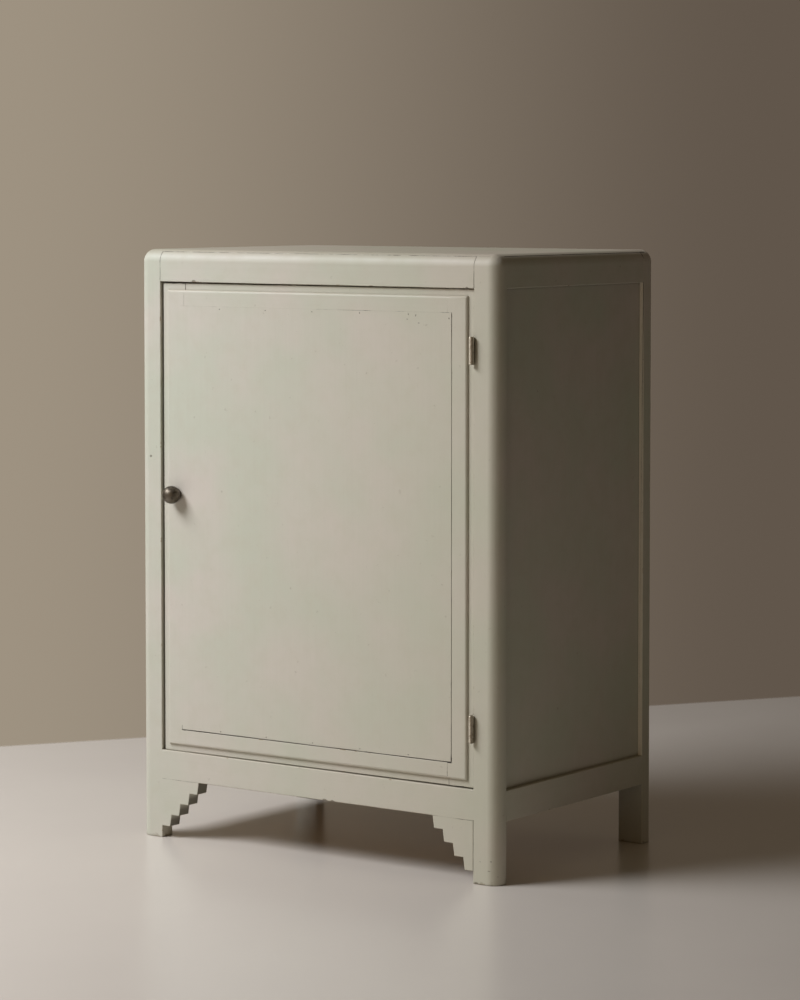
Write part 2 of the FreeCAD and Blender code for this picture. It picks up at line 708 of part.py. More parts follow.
def save_hardware():
    into_post, into_door = hinge_screws()
    save("hinge_frame_screws", into_post)
    save("hinge_door_screws", into_door)
    for place, height in HINGE_HEIGHTS.items():
        save(f"{place}_hinge_frame_leaf", frame_leaf(height))
        save(f"{place}_hinge_door_leaf", door_leaf(height))
        save(f"{place}_hinge_pin", hinge_pin_cylinder(height))
    save("knob", knob())
    save("knob_rosette", knob_rosette())
    save("knob_spindle", knob_spindle())
    save("latch_spacer", latch_spacer())
    save("latch_tongue", latch_tongue())
    save("spindle_nut", spindle_nut())


os.makedirs("parts", exist_ok=True)
save_carcass()
save_boards()
save_door()
save_hardware()
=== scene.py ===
import json
import math
import random

import bmesh
import bpy
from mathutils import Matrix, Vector, noise


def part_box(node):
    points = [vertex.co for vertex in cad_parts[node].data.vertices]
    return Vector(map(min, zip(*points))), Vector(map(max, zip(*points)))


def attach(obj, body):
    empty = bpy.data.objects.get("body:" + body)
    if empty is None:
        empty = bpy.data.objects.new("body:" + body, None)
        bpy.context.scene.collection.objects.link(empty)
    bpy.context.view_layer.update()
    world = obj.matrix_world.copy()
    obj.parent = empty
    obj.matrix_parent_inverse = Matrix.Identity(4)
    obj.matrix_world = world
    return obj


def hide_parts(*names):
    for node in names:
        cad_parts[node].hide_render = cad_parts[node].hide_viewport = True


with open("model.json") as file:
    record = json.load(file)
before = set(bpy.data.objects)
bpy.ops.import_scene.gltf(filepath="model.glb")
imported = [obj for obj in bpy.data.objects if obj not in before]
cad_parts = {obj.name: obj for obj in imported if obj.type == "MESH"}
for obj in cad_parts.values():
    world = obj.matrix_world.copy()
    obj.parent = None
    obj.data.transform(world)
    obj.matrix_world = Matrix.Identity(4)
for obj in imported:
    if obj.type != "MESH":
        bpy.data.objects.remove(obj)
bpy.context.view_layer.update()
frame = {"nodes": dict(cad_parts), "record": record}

MM = 0.001
draw = random.Random(7)

# Planes and sizes of the cupboard, in millimetres
FRONT = -200.75
BACK = 229.25
KNOB_X = -273.0
KNOB_Z = 558.5
KNOB_RADIUS = 14.5
KNOB_STANDOFF = 14.0
KNOB_BACK = 2.5
HINGE_HEIGHTS = (235.4, 805.5)

# Screws, in millimetres: two to a hinge leaf, above and below its middle. Depths are behind the front plane.
HINGE_SCREW_RISE = 12.0
HINGE_SCREW_DEPTH = 11.25
HINGE_SCREW_RADIUS = 1.5
HINGE_SCREW_LENGTH = 16.0
FRAME_SCREW_X = 305.2
DOOR_SCREW_X = 304.8
BATTEN_SCREW_X = 308.0
BATTEN_SCREW_DEPTHS = (88.83, 216.5, 344.17)
BATTEN_SCREW_HEIGHTS = (125.0, 928.0)
BATTEN_SCREW_RADIUS = 2.0
BATTEN_SCREW_LENGTH = 33.0

# How wide edges are rubbed round, in millimetres: free arrises, then the edges of a joint that is a dark line
CARCASS_EDGES = (1.2, 0.9)
SIDE_PANEL_EDGES = (0.5, 0.3)
DOOR_EDGES = (0.9, 0.7)
BOARD_EDGES = (0.9, 0.6)
SHEET_EDGES = (0.5, 0.6)
LEAF_EDGES = (0.4, 0.1)
LATCH_EDGES = (0.35, 0.1)

# By what factors those widths waver from stretch to stretch of an edge, and the most that leaves room for
ARRIS_WAVER = (0.7, 1.3)
JOINT_WAVER = (0.6, 1.4)
WIDEST = 1.6

# How edges are chosen, and cut into stretches at uneven places, in radians and millimetres
SHARP = math.radians(28)
FLAT = math.radians(0.5)
WELD = 0.004
SHORTEST_EDGE = 1.2
STRETCH = 22.0
STRETCH_SPREAD = (0.2, 0.8)
STRETCH_MARGIN = 4.0
LENGTHWISE = 0.9
EDGE_REACH = 0.25
FACE_REACH = 0.3

# The surfaces of a piece, in the order of its materials
SURFACES = ("face", "arris", "joint")
ARRIS = SURFACES.index("arris")
JOINT = SURFACES.index("joint")
GRAIN = {"X": "crosswise", "Y": "depthwise", "Z": "upright"}
PAINT_AND_WOOD_IOR = 1.5

# Where the brush never went, in millimetres: spans in X, Y and Z in each body, and the back face of the door
UNPAINTED = {
    "carcass": ((-337.5, 337.5), (FRONT + 20.5, BACK - 4.5), (101.0, 941.0)),
    "door": ((-285.0, 286.0), (FRONT + 9.5, BACK), (162.0, 880.0)),
}
DOOR_BACK = FRONT + 20.7
DOOR_BACK_X = (-297.0, 298.0)
DOOR_BACK_Z = (151.0, 890.0)

# The space under the carcass, in millimetres: its height, and its width to the posts and to the sides
UNDER_CARCASS = (-1.0, 97.4)
BETWEEN_POSTS = (-305.5, 305.5)
BETWEEN_SIDES = (-349.5, 349.5)

# The back posts, in millimetres: how deep they lie, and how high they stand between the legs and the top
BACK_POSTS = (FRONT + 300.0, BACK - 4.0)
ABOVE_LEGS = (97.5, 940.0)

# How far joints have opened, where it is more or less than the usual: the body, the spans in X, in Y behind
# the front plane and in Z, in millimetres, and the opening. 0 is still closed under the paint, 1 is a dark
# line, and more is wider. The first row that holds a place counts. A real crack is a hair wide. It is drawn
# a millimetre or two wide here, or it would be lost between pixels.
OPENED = [
    ("door", (-300, 300), (-1, 1), (176, 185), 0.95),
    ("door", (-268, -260), (-1, 1), (185, 858), 0.0),
    ("door", (260, 270), (-1, 1), (300, 800), 0.18),
    ("door", (260, 270), (-1, 1), (185, 858), 0.45),
    ("door", (-250, 20), (-1, 1), (856, 866), 0.15),
    ("door", (20, 270), (-1, 1), (856, 866), 0.3),
    ("door", (-262, -252), (-1, 1), (866, 900), 0.4),
    ("door", (-262, -252), (1, 6), (866, 900), 1.0),
    ("door", (252, 262), (-1, 6), (866, 900), 0.15),
    ("door", (-262, -252), (-1, 6), (140, 176), 0.15),
    ("door", (252, 262), (-1, 6), (140, 176), 0.6),
    ("carcass", (-308, 308), (-1, 14), (894, 952), 0.6),
    ("carcass", (-308, 308), (-1, 20), (97.5, 144), 0.0),
    ("carcass", (-300, 300), (-1, 20), (95, 97.5), 0.35),
    ("carcass", (303, 309), (-1, 20), (0, 97.5), 1.25),
    ("carcass", (-309, -303), (-1, 20), (0, 97.5), 0.0),
    ("carcass", (-330, 330), (6, 10), (935, 952), 0.15),
    ("carcass", (312, 351), (-1, 30), (925, 952), 0.0),
    ("carcass", (-351, -312), (-1, 30), (925, 952), 0.0),
    ("carcass", (328, 351), (15, 412), (0, 930), 0.0),
    ("carcass", (-351, -328), (15, 412), (0, 930), 0.0),
    ("carcass", (330, 351), (12, 428), (938, 952), 1.0),
    ("carcass", (-351, -330), (12, 428), (938, 952), 1.0),
]
USUAL_OPENING = 0.5

# The door frame has sagged towards the knob side, by 0.6 mm up or down at each end, and coats of paint on its
# top and bottom edges have made it 0.9 mm taller. Both are per metre: the sag of the width, the coats of the
# height above or below the middle, which is in metres.
SAG = 0.002
COATS = 0.0012
DOOR_MIDDLE = 0.48

# Chips and dents in the paint of the front: X and Z of the middle and the half-sizes, in millimetres
FRONT_MARKS = {
    "carcass": [
        (-326.8, 617.2, 2.4, 2.0),
        (338.0, 37.0, 1.1, 0.9),
        (346.5, 14.0, 1.6, 2.2),
        (335.0, 22.5, 2.2, 0.7),
        (318.5, 35.5, 0.8, 0.8),
        (312.0, 2.0, 3.4, 1.4),
        (24.0, 97.0, 5.0, 1.6),
        (39.0, 96.6, 3.6, 1.8),
        (-236.7, 900.2, 4.2, 1.9),
        (293.5, 899.2, 3.0, 1.5),
    ],
    "door": [
        (198.7, 856.0, 1.1, 1.5),
        (182.6, 850.0, 1.2, 1.0),
        (205.0, 844.5, 1.6, 0.8),
        (260.5, 853.0, 1.0, 1.5),
    ],
}

CARCASS_WOOD = {
    "Z": ["left_front_post", "right_front_post", "left_back_post", "right_back_post"],
    "X": ["front_top_rail", "front_bottom_rail", "back_top_rail", "back_bottom_rail", "top_board"]
    + ["left_stepped_bracket", "right_stepped_bracket"],
    "Y": ["left_side_top_rail", "right_side_top_rail", "left_side_bottom_rail", "right_side_bottom_rail"],
}
CARCASS_PANELS = ["left_side_panel", "right_side_panel"]
DOOR_WOOD = {
    "Z": ["door_left_stile", "door_right_stile", "door_panel"],
    "X": ["door_top_rail", "door_bottom_rail"],
}
BARE_WOOD = {
    "X": ["shelf_1", "shelf_2", "bottom_board", "door_stop_strip"],
    "Y": [
        f"{side}_{place}_batten"
        for side in ("left", "right")
        for place in ("top", "bottom", "shelf_1", "shelf_2")
    ],
}


def linear(hex_colour):
    """An sRGB hex colour as the linear RGBA that a socket takes."""
    channels = [int(hex_colour[i : i + 2], 16) / 255 for i in (1, 3, 5)]
    return [c / 12.92 if c <= 0.04045 else ((c + 0.055) / 1.055) ** 2.4 for c in channels] + [1.0]


def add(tree, kind, inputs=None, out=0, **settings):
    """Adds a node, sets or links its inputs, and returns one of its outputs. By number, the inputs of a
    MapRange are the value, the range it comes from and the range it goes to. Those of a Mix of colours are 0,
    the factor, and 6 and 7, the colours, and its output is 2."""
    node = tree.nodes.new("ShaderNode" + kind)
    for name, value in settings.items():
        setattr(node, name, value)
    for socket, value in (inputs or {}).items():
        if isinstance(value, bpy.types.NodeSocket):
            tree.links.new(value, node.inputs[socket])
        else:
            node.inputs[socket].default_value = value
    return node.outputs[out] if node.outputs else None


def blank(name):
    """A new material with an empty tree, and a socket that gives the place on the part in millimetres."""
    material = bpy.data.materials.new(name)
    material.use_nodes = True
    tree = material.node_tree
    tree.nodes.clear()
    at_rest = add(tree, "TexCoord", out="Object")
    return material, tree, add(tree, "VectorMath", {0: at_rest, 3: 1 / MM}, operation="SCALE")


def drawn_out(tree, place, along, times):
    """The same place, drawn out along one axis, for marks that are longer than they are wide."""
    factors = [1 / times if axis == along else 1.0 for axis in "XYZ"]
    return add(tree, "VectorMath", {0: place, 1: factors}, operation="MULTIPLY")


# Materials


def pine_grain(tree, place, along):
    """Colour and relief of planed pine, aged to a dull tan: growth rings 5 mm apart, drawn out along the
    board, with harder dark latewood standing a little proud and a few knots."""
    lengthwise = drawn_out(tree, place, along, 22)
    wander = add(tree, "TexNoise", {"Vector": lengthwise, "Scale": 1 / 45, "Detail": 2.0}, out="Color")
    sway = 46.0
    bent = add(
        tree,
        "VectorMath",
        {0: wander, 1: (sway, sway, sway), 2: lengthwise},
        operation="MULTIPLY_ADD",
    )
    spacing = 5.0
    radians_per_unit = 20
    rings = add(
        tree,
        "TexWave",
        {"Vector": bent, "Scale": 2 * math.pi / radians_per_unit / spacing},
        out="Fac",
        wave_type="RINGS",
        rings_direction=along,
        wave_profile="SAW",
    )
    latewood = add(tree, "MapRange", {0: rings, 1: 0.35, 2: 0.95}, interpolation_type="SMOOTHSTEP")
    fibres = add(
        tree,
        "TexNoise",
        {"Vector": drawn_out(tree, place, along, 60), "Scale": 1 / 1.6, "Detail": 3.0},
    )
    tone = add(tree, "Mix", {0: latewood, 6: linear("#bf9f74"), 7: linear("#9b7548")}, 2, data_type="RGBA")
    fade = add(tree, "TexNoise", {"Vector": lengthwise, "Scale": 1 / 60, "Detail": 3.0})
    greyed = add(tree, "MapRange", {0: fade, 1: 0.35, 2: 0.75, 3: 0.15, 4: 0.6})
    tone = add(tree, "Mix", {0: greyed, 6: tone, 7: linear("#a78b69")}, 2, data_type="RGBA")
    streak = add(tree, "MapRange", {0: fibres, 1: 0.3, 2: 0.75, 3: 0.0, 4: 0.35})
    tone = add(tree, "Mix", {0: streak, 6: tone, 7: linear("#86673f")}, 2, data_type="RGBA")
    spots = add(
        tree,
        "TexVoronoi",
        {"Vector": drawn_out(tree, place, along, 2.2), "Scale": 1 / 190},
        out="Distance",
    )
    knot = add(tree, "MapRange", {0: spots, 1: 0.085, 2: 0.04}, interpolation_type="SMOOTHSTEP")
    tone = add(tree, "Mix", {0: knot, 6: tone, 7: linear("#5f3f22")}, 2, data_type="RGBA")
    relief = add(tree, "Math", {0: latewood, 1: fibres}, operation="ADD")
    return tone, relief


def within(tree, axis, low, high):
    """1 where a coordinate lies between two planes, in millimetres."""
    above = add(tree, "Math", {0: axis, 1: low}, operation="GREATER_THAN")
    below = add(tree, "Math", {0: axis, 1: high}, operation="LESS_THAN")
    return add(tree, "Math", {0: above, 1: below}, operation="MULTIPLY")


def bare_side(tree, place, body):
    """1 where the brush never went: inside the carcass, and on the back of the door. The line between paint
    and wood wavers by a millimetre or two."""
    unsteady = add(tree, "TexNoise", {"Vector": place, "Scale": 1 / 18, "Detail": 3.0}, out="Color")
    centred = add(tree, "VectorMath", {0: unsteady, 1: (0.5, 0.5, 0.5)}, operation="SUBTRACT")
    waver = (6.0, 0.5, 6.0)
    wavering = add(tree, "VectorMath", {0: centred, 1: waver, 2: place}, operation="MULTIPLY_ADD")
    x, y, z = add(tree, "SeparateXYZ", {0: wavering}).node.outputs
    masks = [within(tree, axis, *span) for axis, span in zip((x, y, z), UNPAINTED[body])]
    inside = add(tree, "Math", {0: masks[0], 1: masks[1]}, operation="MULTIPLY")
    inside = add(tree, "Math", {0: inside, 1: masks[2]}, operation="MULTIPLY")
    if body == "door":
        back_face = add(tree, "Math", {0: y, 1: DOOR_BACK}, operation="GREATER_THAN")
        margin_x = within(tree, x, *DOOR_BACK_X)
        margin_z = within(tree, z, *DOOR_BACK_Z)
        back_face = add(tree, "Math", {0: back_face, 1: margin_x}, operation="MULTIPLY")
        back_face = add(tree, "Math", {0: back_face, 1: margin_z}, operation="MULTIPLY")
        inside = add(tree, "Math", {0: inside, 1: back_face}, operation="MAXIMUM")
    return inside


def under_carcass_shade_and_dirt(tree, place, facing_x):
    """Painted shade and dirt under the bottom edge of the carcass, where the paint was only dabbed on: 1 on
    the sawn ends of the bracket steps, and less on the inner faces of the back legs."""
    x, y, z = add(tree, "SeparateXYZ", {0: place}).node.outputs
    low = within(tree, z, *UNDER_CARCASS)
    between = within(tree, x, *BETWEEN_POSTS)
    sideways = add(tree, "Math", {0: facing_x}, operation="ABSOLUTE")
    sawn = add(tree, "MapRange", {0: sideways, 1: 0.75, 2: 0.9})
    step_ends = add(tree, "Math", {0: between, 1: sawn}, operation="MULTIPLY")
    within_reach = within(tree, x, *BETWEEN_SIDES)
    back_legs = within(tree, y, *BACK_POSTS)
    inner_faces = add(tree, "Math", {0: within_reach, 1: back_legs}, operation="MULTIPLY")
    less = add(tree, "Math", {0: inner_faces, 1: 0.6}, operation="MULTIPLY")
    either = add(tree, "Math", {0: step_ends, 1: less}, operation="MAXIMUM")
    return add(tree, "Math", {0: low, 1: either}, operation="MULTIPLY")


def chips_and_painted_dent_shade(tree, place, body):
    """1 inside the chip marks and dents of the front, with ragged edges. Their dark paint is partly bared
    undercoat and partly painted shade in the dents.
    """
    reach = 2.4
    depth = 8.0
    ragged = add(tree, "TexNoise", {"Vector": place, "Scale": 1 / 2.2, "Detail": 2.0}, out="Color")
    moved = add(tree, "VectorMath", {0: ragged, 1: (reach, 0.0, reach), 2: place}, operation="MULTIPLY_ADD")
    nearest = None
    for x, z, half_x, half_z in FRONT_MARKS[body]:
        middle = (x + reach / 2, FRONT, z + reach / 2)
        offset = add(tree, "VectorMath", {0: moved, 1: middle}, operation="SUBTRACT")
        shrunk = (1 / half_x, 1 / depth, 1 / half_z)
        scaled = add(tree, "VectorMath", {0: offset, 1: shrunk}, operation="MULTIPLY")
        away = add(tree, "VectorMath", {0: scaled}, "Value", operation="LENGTH")
        if nearest:
            away = add(tree, "Math", {0: nearest, 1: away}, operation="MINIMUM")
        nearest = away
    return add(tree, "MapRange", {0: nearest, 1: 1.25, 2: 0.7}, interpolation_type="SMOOTHSTEP")


def eggshell_paint(name, along, body, surface):
    """Oil eggshell paint, brushed on by hand and aged to a greyed cream with a green cast: a low sheen, faint
    brush marks along each piece, cloudy yellowing, painted shade that turns the fronts darker and yellower
    towards the right and all of the paint darker towards the bottom, painted shade in concave corners and
    gaps, dust and painted shade on faces that look up, knocks at the foot, chip marks and dents painted dark,
    partly as painted shade, and the wood's grain just showing through. On an arris the film is worn thin, and
    in a joint it has cracked open in places. The narrow fronts of the back posts are painted paler, as
    painted light, and painted shade and dirt turn the sawn step ends and the back legs darker under the
    carcass."""
    material, tree, place = blank(name)
    strokes = add(
        tree,
        "TexNoise",
        {"Vector": drawn_out(tree, place, along, 60), "Scale": 1 / 3.5, "Detail": 3.0},
    )
    cloud = add(tree, "TexNoise", {"Vector": place, "Scale": 1 / 150, "Detail": 3.0})
    patches = add(tree, "TexNoise", {"Vector": place, "Scale": 1 / 28, "Detail": 5.0, "Roughness": 0.6})
    warm = add(tree, "MapRange", {0: cloud, 1: 0.36, 2: 0.64})
    tone = add(tree, "Mix", {0: warm, 6: linear("#c4c6b5"), 7: linear("#cec6bb")}, 2, data_type="RGBA")
    yellowed = add(tree, "MapRange", {0: patches, 1: 0.45, 2: 0.8, 3: 0.0, 4: 0.4})
    tone = add(tree, "Mix", {0: yellowed, 6: tone, 7: linear("#c0baa7")}, 2, data_type="RGBA")
    facing = add(tree, "SeparateXYZ", {0: add(tree, "NewGeometry", out="Normal")}).node.outputs
    crosswise = add(tree, "SeparateXYZ", {0: place}, "X")
    # Painted shade: the fronts turn darker and yellower towards the right, where the light falls off.
    painted_falloff_towards_right = add(tree, "MapRange", {0: crosswise, 1: -300.0, 2: 350.0, 3: 0.0, 4: 0.5})
    on_front = add(tree, "MapRange", {0: facing["Y"], 1: -0.3, 2: -0.8})
    painted_shade_on_fronts = add(tree, "Math", {0: painted_falloff_towards_right, 1: on_front}, operation="MULTIPLY")
    tone = add(tree, "Mix", {0: painted_shade_on_fronts, 6: tone, 7: linear("#c3bda4")}, 2, data_type="RGBA")
    brushed = add(tree, "MapRange", {0: strokes, 1: 0.3, 2: 0.7, 3: 0.0, 4: 0.08})
    tone = add(tree, "Mix", {0: brushed, 6: tone, 7: linear("#b3af9f")}, 2, data_type="RGBA")
    height = add(tree, "SeparateXYZ", {0: place}, "Z")
    # Painted shade: the paint turns darker towards the bottom.
    painted_shade_towards_floor = add(tree, "MapRange", {0: height, 1: 760.0, 2: 100.0, 3: 0.0, 4: 0.24})
    tone = add(tree, "Mix", {0: painted_shade_towards_floor, 6: tone, 7: linear("#a6a594")}, 2, data_type="RGBA")
    knocks = add(tree, "TexNoise", {"Vector": place, "Scale": 1 / 11, "Detail": 4.0, "Roughness": 0.6})
    low_down = add(tree, "MapRange", {0: height, 1: 9.0, 2: 0.0, 3: 0.0, 4: 0.25})
    knocked = add(tree, "Math", {0: knocks, 1: low_down}, operation="ADD")
    worn_foot = add(tree, "MapRange", {0: knocked, 1: 0.68, 2: 0.82, 3: 0.0, 4: 0.6})
    tone = add(tree, "Mix", {0: worn_foot, 6: tone, 7: linear("#85785f")}, 2, data_type="RGBA")
    # Faces that look up turn darker: partly dust, partly painted shade.
    dust_and_top_shade = add(tree, "MapRange", {0: facing["Z"], 1: 0.42, 2: 0.8, 3: 0.0, 4: 0.5})
    tone = add(tree, "Mix", {0: dust_and_top_shade, 6: tone, 7: linear("#a0947c")}, 2, data_type="RGBA")
    # Painted shade: the paint turns darker where a surface is shut in, in concave corners and gaps.
    corners = add(tree, "AmbientOcclusion", {"Distance": 6 * MM}, out="AO", samples=8)
    painted_corner_shade = add(tree, "MapRange", {0: corners, 1: 0.85, 2: 0.4, 3: 0.0, 4: 0.5})
    tone = add(tree, "Mix", {0: painted_corner_shade, 6: tone, 7: linear("#6f6655")}, 2, data_type="RGBA")
    if body == "carcass":
        # Painted light: the narrow fronts of the back posts are painted paler, to stand in for light the
        # lamps don't give them.
        depthwise = add(tree, "SeparateXYZ", {0: place}, "Y")
        at_back = within(tree, depthwise, *BACK_POSTS)
        above_legs = within(tree, height, *ABOVE_LEGS)
        back_post_band = add(tree, "Math", {0: at_back, 1: above_legs}, operation="MULTIPLY")
        painted_light_back_posts = add(tree, "Math", {0: back_post_band, 1: on_front}, operation="MULTIPLY")
        tone = add(tree, "Mix", {0: painted_light_back_posts, 6: tone, 7: linear("#e9e3d4")}, 2, data_type="RGBA")
        # Painted shade and dirt: the paint under the carcass turns darker.
        shade_and_dirt_under = add(tree, "Math", {0: under_carcass_shade_and_dirt(tree, place, facing["X"]), 1: 0.65}, operation="MULTIPLY")
        tone = add(tree, "Mix", {0: shade_and_dirt_under, 6: tone, 7: linear("#3d3427")}, 2, data_type="RGBA")
    # Chip marks and dents: dark paint, partly bared undercoat and partly painted shade in the dents.
    chip_and_shade_mix = add(tree, "Math", {0: chips_and_painted_dent_shade(tree, place, body), 1: 0.7}, operation="MULTIPLY")
    tone = add(tree, "Mix", {0: chip_and_shade_mix, 6: tone, 7: linear("#4f4534")}, 2, data_type="RGBA")
    if surface == "arris":
        rubbed = add(tree, "TexNoise", {"Vector": place, "Scale": 1 / 16, "Detail": 5.0, "Roughness": 0.65})
        thin = add(tree, "MapRange", {0: rubbed, 1: 0.6, 2: 0.68}, interpolation_type="SMOOTHSTEP")
        tone = add(tree, "Mix", {0: thin, 6: tone, 7: linear("#94856a")}, 2, data_type="RGBA")
    if surface == "joint":
        bridged = add(tree, "TexNoise", {"Vector": place, "Scale": 1 / 38, "Detail": 4.0, "Roughness": 0.7})
        opened = add(tree, "Attribute", attribute_name="opened", out="Fac")
        strained = add(tree, "Math", {0: opened, 1: 0.32, 2: bridged}, operation="MULTIPLY_ADD")
        crack = add(tree, "MapRange", {0: strained, 1: 0.58, 2: 0.74})
        tone = add(tree, "Mix", {0: crack, 6: tone, 7: linear("#2b241a")}, 2, data_type="RGBA")
    bare = bare_side(tree, place, body)
    wood, relief = pine_grain(tree, place, along)
    tone = add(tree, "Mix", {0: bare, 6: tone, 7: wood}, 2, data_type="RGBA")
    sheen = add(tree, "MapRange", {0: patches, 1: 0.3, 2: 0.75, 3: 0.52, 4: 0.64})
    rough = add(tree, "Mix", {0: bare, 2: sheen, 3: 0.72})
    grain = add(tree, "Math", {0: relief, 1: 0.25, 2: strokes}, operation="MULTIPLY_ADD")
    film = add(tree, "Math", {0: patches, 1: 0.5, 2: grain}, operation="MULTIPLY_ADD")
    ridges = add(tree, "Bump", {"Strength": 0.22, "Distance": 0.25 * MM, "Height": film})
    shader = add(
        tree,
        "BsdfPrincipled",
        {"Base Color": tone, "Roughness": rough, "IOR": PAINT_AND_WOOD_IOR, "Normal": ridges},
    )
    add(tree, "OutputMaterial", {"Surface": shader})
    return material


def bare_pine(name, along):
    """Planed pine with no finish, dry and dull."""
    material, tree, place = blank(name)
    wood, relief = pine_grain(tree, place, along)
    dust = add(tree, "TexNoise", {"Vector": place, "Scale": 1 / 55, "Detail": 4.0})
    rough = add(tree, "MapRange", {0: dust, 1: 0.3, 2: 0.7, 3: 0.62, 4: 0.78})
    ridges = add(tree, "Bump", {"Strength": 0.35, "Distance": 0.2 * MM, "Height": relief})
    shader = add(
        tree,
        "BsdfPrincipled",
        {"Base Color": wood, "Roughness": rough, "IOR": PAINT_AND_WOOD_IOR, "Normal": ridges},
    )
    add(tree, "OutputMaterial", {"Surface": shader})
    return material


def rotary_plywood(name):
    """Rotary-cut birch plywood: broad, flowing, low-contrast figure up the sheet, with short dark pores."""
    material, tree, place = blank(name)
    upright = drawn_out(tree, place, "Z", 6)
    wander = add(tree, "TexNoise", {"Vector": upright, "Scale": 1 / 70, "Detail": 3.0})
    figure = add(tree, "Math", {0: wander, 1: 9.0}, operation="MULTIPLY")
    bands = add(tree, "Math", {0: figure, 1: 1.0}, operation="PINGPONG")
    tone = add(tree, "Mix", {0: bands, 6: linear("#b79a72"), 7: linear("#a3835a")}, 2, data_type="RGBA")
    fibres = drawn_out(tree, place, "Z", 14)
    pores = add(tree, "TexNoise", {"Vector": fibres, "Scale": 1 / 1.8, "Detail": 2.0})
    dark = add(tree, "MapRange", {0: pores, 1: 0.58, 2: 0.72, 3: 0.0, 4: 0.5})
    tone = add(tree, "Mix", {0: dark, 6: tone, 7: linear("#7a5f3d")}, 2, data_type="RGBA")
    stain = add(tree, "TexNoise", {"Vector": place, "Scale": 1 / 120, "Detail": 4.0})
    damp = add(tree, "MapRange", {0: stain, 1: 0.5, 2: 0.7, 3: 0.0, 4: 0.35})
    tone = add(tree, "Mix", {0: damp, 6: tone, 7: linear("#8b734f")}, 2, data_type="RGBA")
    ridges = add(tree, "Bump", {"Strength": 0.3, "Distance": 0.15 * MM, "Height": pores})
    rough = add(tree, "MapRange", {0: stain, 1: 0.3, 2: 0.7, 3: 0.65, 4: 0.8})
    shader = add(
        tree,
        "BsdfPrincipled",
        {"Base Color": tone, "Roughness": rough, "IOR": PAINT_AND_WOOD_IOR, "Normal": ridges},
    )
    add(tree, "OutputMaterial", {"Surface": shader})
    return material


def worn_metal(name, clean, tarnish, share, rough_low, rough_high, spread=0.0):
    """Bare metal that hands and air have changed: cloudy tarnish over the clean metal, with fine scratches.
    Where the scratches run round a barrel they spread its highlight into an upright line."""
    material, tree, place = blank(name)
    clouds = add(tree, "TexNoise", {"Vector": place, "Scale": 1 / 7, "Detail": 5.0, "Roughness": 0.65})
    cover = add(tree, "MapRange", {0: clouds, 1: 0.62 - 0.3 * share, 2: 0.78 - 0.3 * share})
    tone = add(tree, "Mix", {0: cover, 6: linear(clean), 7: linear(tarnish)}, 2, data_type="RGBA")
    strokes = drawn_out(tree, place, "Z", 9)
    scratches = add(tree, "TexNoise", {"Vector": strokes, "Scale": 1 / 0.8, "Detail": 2.0})
    rough = add(tree, "MapRange", {0: clouds, 1: 0.3, 2: 0.7, 3: rough_low, 4: rough_high})
    ridges = add(tree, "Bump", {"Strength": 0.2, "Distance": 0.06 * MM, "Height": scratches})
    upright = add(tree, "CombineXYZ", {"Z": 1.0})
    shader = add(
        tree,
        "BsdfPrincipled",
        {"Base Color": tone, "Metallic": 1.0, "Roughness": rough, "Normal": ridges}
        | {"Anisotropic": spread, "Tangent": upright},
    )
    add(tree, "OutputMaterial", {"Surface": shader})
    return material


# Pieces

BODY_OF = {node: body for body, nodes in frame["record"]["behaviour"]["bodies"].items() for node in nodes}
WOOD_NODES = [
    node
    for group in (CARCASS_WOOD, DOOR_WOOD, BARE_WOOD)
    for nodes in group.values()
    for node in nodes
] + CARCASS_PANELS + ["back_panel"]
BOXES = {node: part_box(node) for node in WOOD_NODES}


def touching(point, boxes, reach):
    """Whether a point lies in one of the boxes or within reach of it."""
    return any(
        all(low[i] - reach <= point[i] <= high[i] + reach for i in range(3))
        for low, high in boxes
    )


def opening(body, point):
    """How far the joint at a place has opened."""
    x, y, z = point / MM
    for name, x_span, y_span, z_span, opened in OPENED:
        inside = x_span[0] < x < x_span[1] and y_span[0] < y - FRONT < y_span[1] and z_span[0] < z < z_span[1]
        if name == body and inside:
            return opened
    return USUAL_OPENING


def solid_copy(node):
    """The CAD piece as one welded mesh with whole flat faces."""
    shape = bmesh.new()
    shape.from_mesh(frame["nodes"][node].data)
    bmesh.ops.remove_doubles(shape, verts=shape.verts, dist=WELD * MM)
    bmesh.ops.dissolve_limit(
        shape,
        angle_limit=FLAT,
        verts=shape.verts,
        edges=shape.edges,
    )
    shape.normal_update()
    return shape


def split_edge(edge, places):
    """Cuts an edge at rising fractions of its length and returns its lengths in order."""
    start = edge.verts[0]
    lengths = []
    done = 0.0
    for place in places:
        first, start = bmesh.utils.edge_split(edge, start, (place - done) / (1 - done))
        lengths.append(first)
        done = place
    return lengths + [edge]


def new_piece(name, mesh, body, nodes):
    """Puts a mesh in the scene in place of CAD nodes."""
    piece = bpy.data.objects.new(name, mesh)
    bpy.context.scene.collection.objects.link(piece)
    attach(piece, body)
    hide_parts(*nodes)
    return piece


